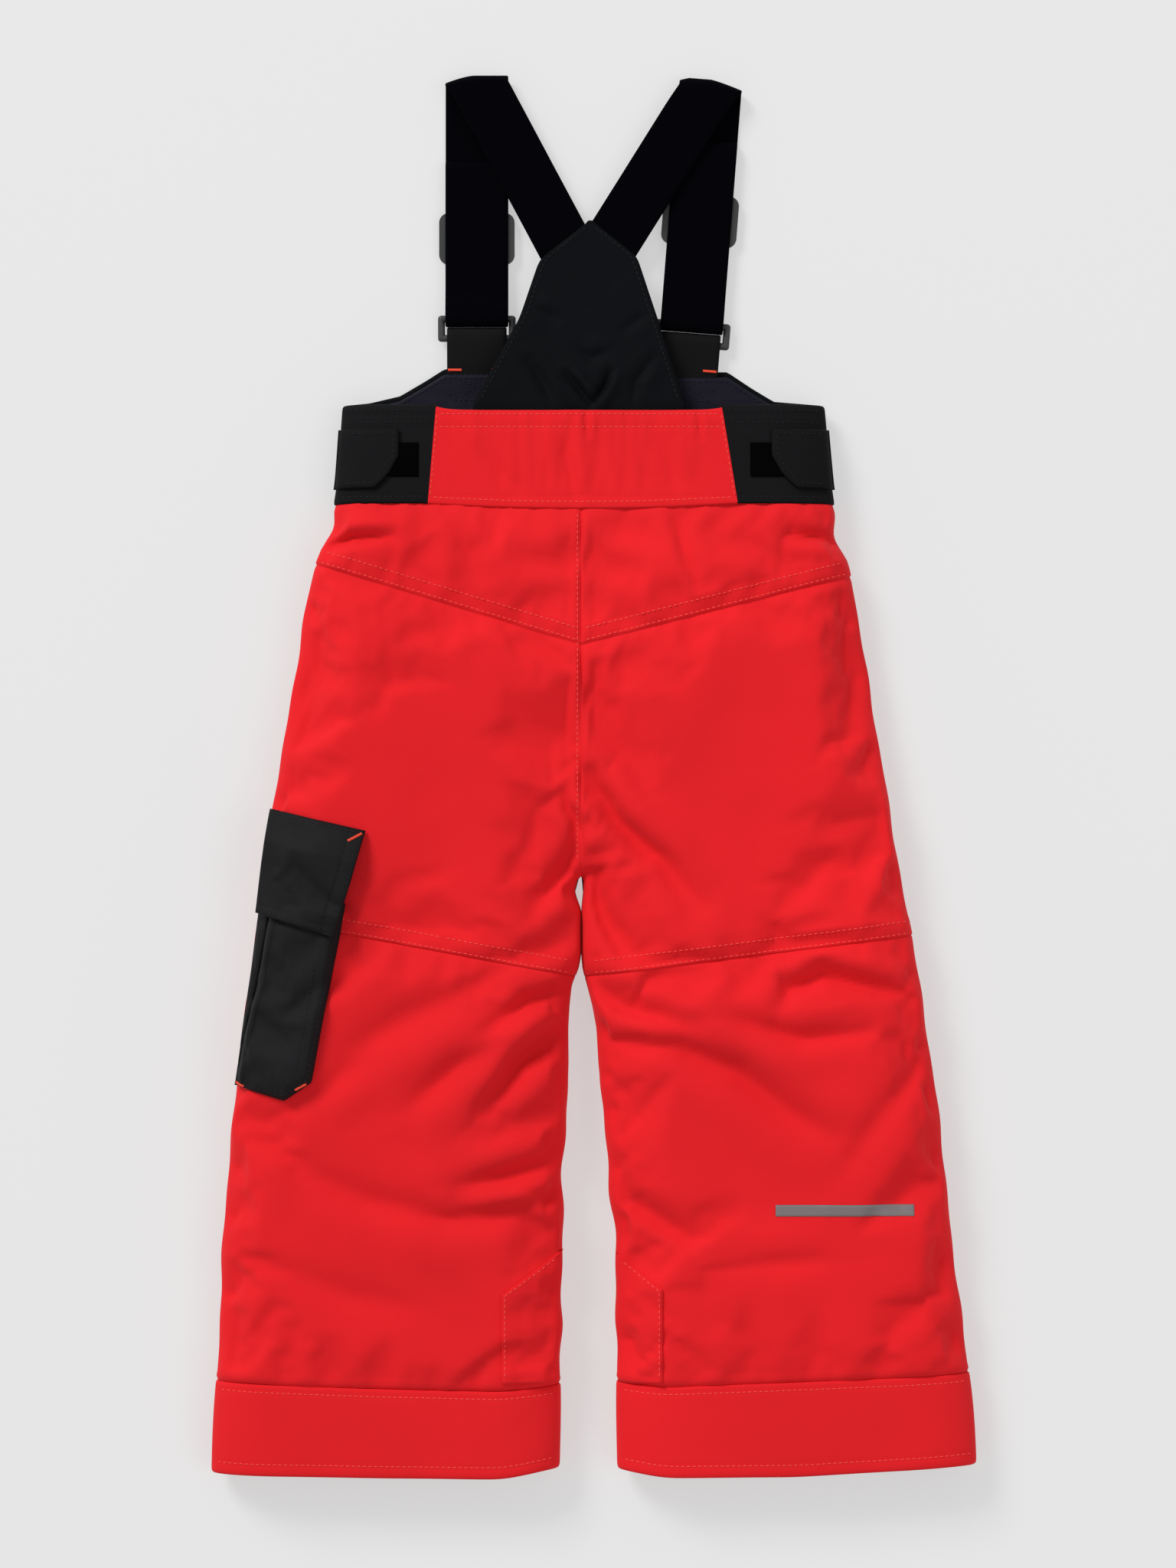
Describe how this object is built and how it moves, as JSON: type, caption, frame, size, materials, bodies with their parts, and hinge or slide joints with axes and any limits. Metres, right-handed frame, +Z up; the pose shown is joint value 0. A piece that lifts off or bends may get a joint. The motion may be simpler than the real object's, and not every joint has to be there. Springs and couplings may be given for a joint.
{
  "type": "ski pants",
  "caption": "Child's insulated bib ski pants with elastic shoulder straps, lying flat with the back up, with folding legs, bib, flap, waist tabs and zippers.",
  "frame": {"origin": "under the middle of the garment's bounding box, on the surface it lies on", "axes": "+Y from the hems towards the shoulder straps, +Z up out of the garment's back, +X towards the wearer's right"},
  "size_m": [0.4744, 0.87, 0.0523],
  "materials": {
    "red_shell": "matte",
    "black_shell": "matte",
    "navy_lining": "satin",
    "webbing": "matte",
    "loop_fastener": "matte",
    "white_elastic": "matte",
    "reflective_print": "satin",
    "grey_plastic": "satin",
    "zip_metal": "satin"
  },
  "bodies": {
    "hips": {"left_yoke": "red_shell", "right_yoke": "red_shell", "left_seat": "red_shell", "right_seat": "red_shell", "left_front_hip": "red_shell", "right_front_hip": "red_shell", "back_waistband": "red_shell", "left_side_band": "black_shell", "right_side_band": "black_shell", "waist_loop_patches": "loop_fastener", "waist_elastic": "white_elastic", "hip_lining": "navy_lining", "fly_zip_tapes": "black_shell", "fly_zip_teeth": "grey_plastic", "fly_guard": "navy_lining", "hand_pocket_zips": "grey_plastic", "hand_pocket_bags": "navy_lining"},
    "legs": {"left_thigh_back": "red_shell", "right_thigh_back": "red_shell", "left_knee_back": "red_shell", "right_knee_back": "red_shell", "left_thigh_front": "red_shell", "right_thigh_front": "red_shell", "thigh_linings": "navy_lining", "cargo_pouch": "black_shell", "cargo_loop_patch": "loop_fastener"},
    "left_shin": {"left_shin_back": "red_shell", "left_shin_front": "red_shell", "left_hem_band": "red_shell", "left_shin_lining": "navy_lining", "left_snow_gaiter": "black_shell", "left_scuff_guard": "red_shell"},
    "right_shin": {"right_shin_back": "red_shell", "right_shin_front": "red_shell", "right_hem_band": "red_shell", "right_shin_lining": "navy_lining", "right_snow_gaiter": "black_shell", "right_scuff_guard": "red_shell", "reflective_bar": "reflective_print"},
    "bib": {"left_bib": "black_shell", "right_bib": "black_shell", "bib_lining": "navy_lining", "left_strap_tab": "black_shell", "right_strap_tab": "black_shell", "back_panel": "black_shell", "left_strap": "webbing", "right_strap": "webbing", "bib_closure_tab": "black_shell", "bib_snap": "zip_metal"},
    "left_ring": {"left_ring": "grey_plastic"},
    "right_ring": {"right_ring": "grey_plastic"},
    "left_slider": {"left_slider": "grey_plastic"},
    "right_slider": {"right_slider": "grey_plastic"},
    "cargo_flap": {"cargo_flap": "black_shell"},
    "left_waist_tab": {"left_waist_tab": "black_shell"},
    "right_waist_tab": {"right_waist_tab": "black_shell"},
    "fly_slider": {"fly_zip_slider": "zip_metal"},
    "fly_pull": {"fly_zip_pull": "zip_metal"},
    "left_pocket_puller": {"left_pocket_puller": "zip_metal"},
    "right_pocket_puller": {"right_pocket_puller": "zip_metal"}
  },
  "joints": [
    {"name": "bib_fold", "type": "hinge", "parent": "hips", "child": "bib", "pos_m": [0, 0.229, 0.0253], "axis": [1, 0, 0], "range_deg": [0, 90]},
    {"name": "leg_fold", "type": "hinge", "parent": "hips", "child": "legs", "pos_m": [0, 0.008, 0.0383], "axis": [-1, 0, 0], "range_deg": [0, 90]},
    {"name": "left_knee_bend", "type": "hinge", "parent": "legs", "child": "left_shin", "pos_m": [-0.122, -0.23, 0.0383], "axis": [-1, 0, 0], "range_deg": [0, 120]},
    {"name": "right_knee_bend", "type": "hinge", "parent": "legs", "child": "right_shin", "pos_m": [0.112, -0.23, 0.0383], "axis": [-1, 0, 0], "range_deg": [0, 120]},
    {"name": "cargo_flap_lift", "type": "hinge", "parent": "legs", "child": "cargo_flap", "pos_m": [-0.1692, -0.0285, 0.0527], "axis": [-0.9736, 0.2281, 0], "range_deg": [0, 120]},
    {"name": "left_waist_tab_peel", "type": "hinge", "parent": "hips", "child": "left_waist_tab", "pos_m": [-0.1626, 0.195, 0.0111], "axis": [-0.066, -0.997, 0.0393], "range_deg": [0, 120]},
    {"name": "right_waist_tab_peel", "type": "hinge", "parent": "hips", "child": "right_waist_tab", "pos_m": [0.1501, 0.195, 0.0111], "axis": [-0.0814, 0.9959, -0.0393], "range_deg": [0, 120]},
    {"name": "left_ring_swing", "type": "hinge", "parent": "bib", "child": "left_ring", "pos_m": [-0.073, 0.2718, 0.0044], "axis": [1, 0, 0], "range_deg": [0, 8]},
    {"name": "right_ring_swing", "type": "hinge", "parent": "bib", "child": "right_ring", "pos_m": [0.0599, 0.2682, 0.0044], "axis": [0.9969, -0.0785, 0], "range_deg": [0, 8]},
    {"name": "left_strap_adjust", "type": "slide", "parent": "bib", "child": "left_slider", "axis": [0, 1, 0], "range_m": [-0.03, 0.026]},
    {"name": "right_strap_adjust", "type": "slide", "parent": "bib", "child": "right_slider", "axis": [0.0785, 0.9969, 0], "range_m": [-0.045, 0.028]},
    {"name": "fly_zip", "type": "slide", "parent": "hips", "child": "fly_slider", "axis": [0, -1, 0], "range_m": [0, 0.139]},
    {"name": "fly_pull_swing", "type": "hinge", "parent": "fly_slider", "child": "fly_pull", "pos_m": [-0.008, 0.2165, 0.0017], "axis": [1, 0, 0], "range_deg": [0, 120]},
    {"name": "left_pocket_zip", "type": "slide", "parent": "hips", "child": "left_pocket_puller", "axis": [-0.3746, -0.9272, 0], "range_m": [0, 0.065]},
    {"name": "right_pocket_zip", "type": "slide", "parent": "hips", "child": "right_pocket_puller", "axis": [0.3746, -0.9272, 0], "range_m": [0, 0.065]}
  ]
}
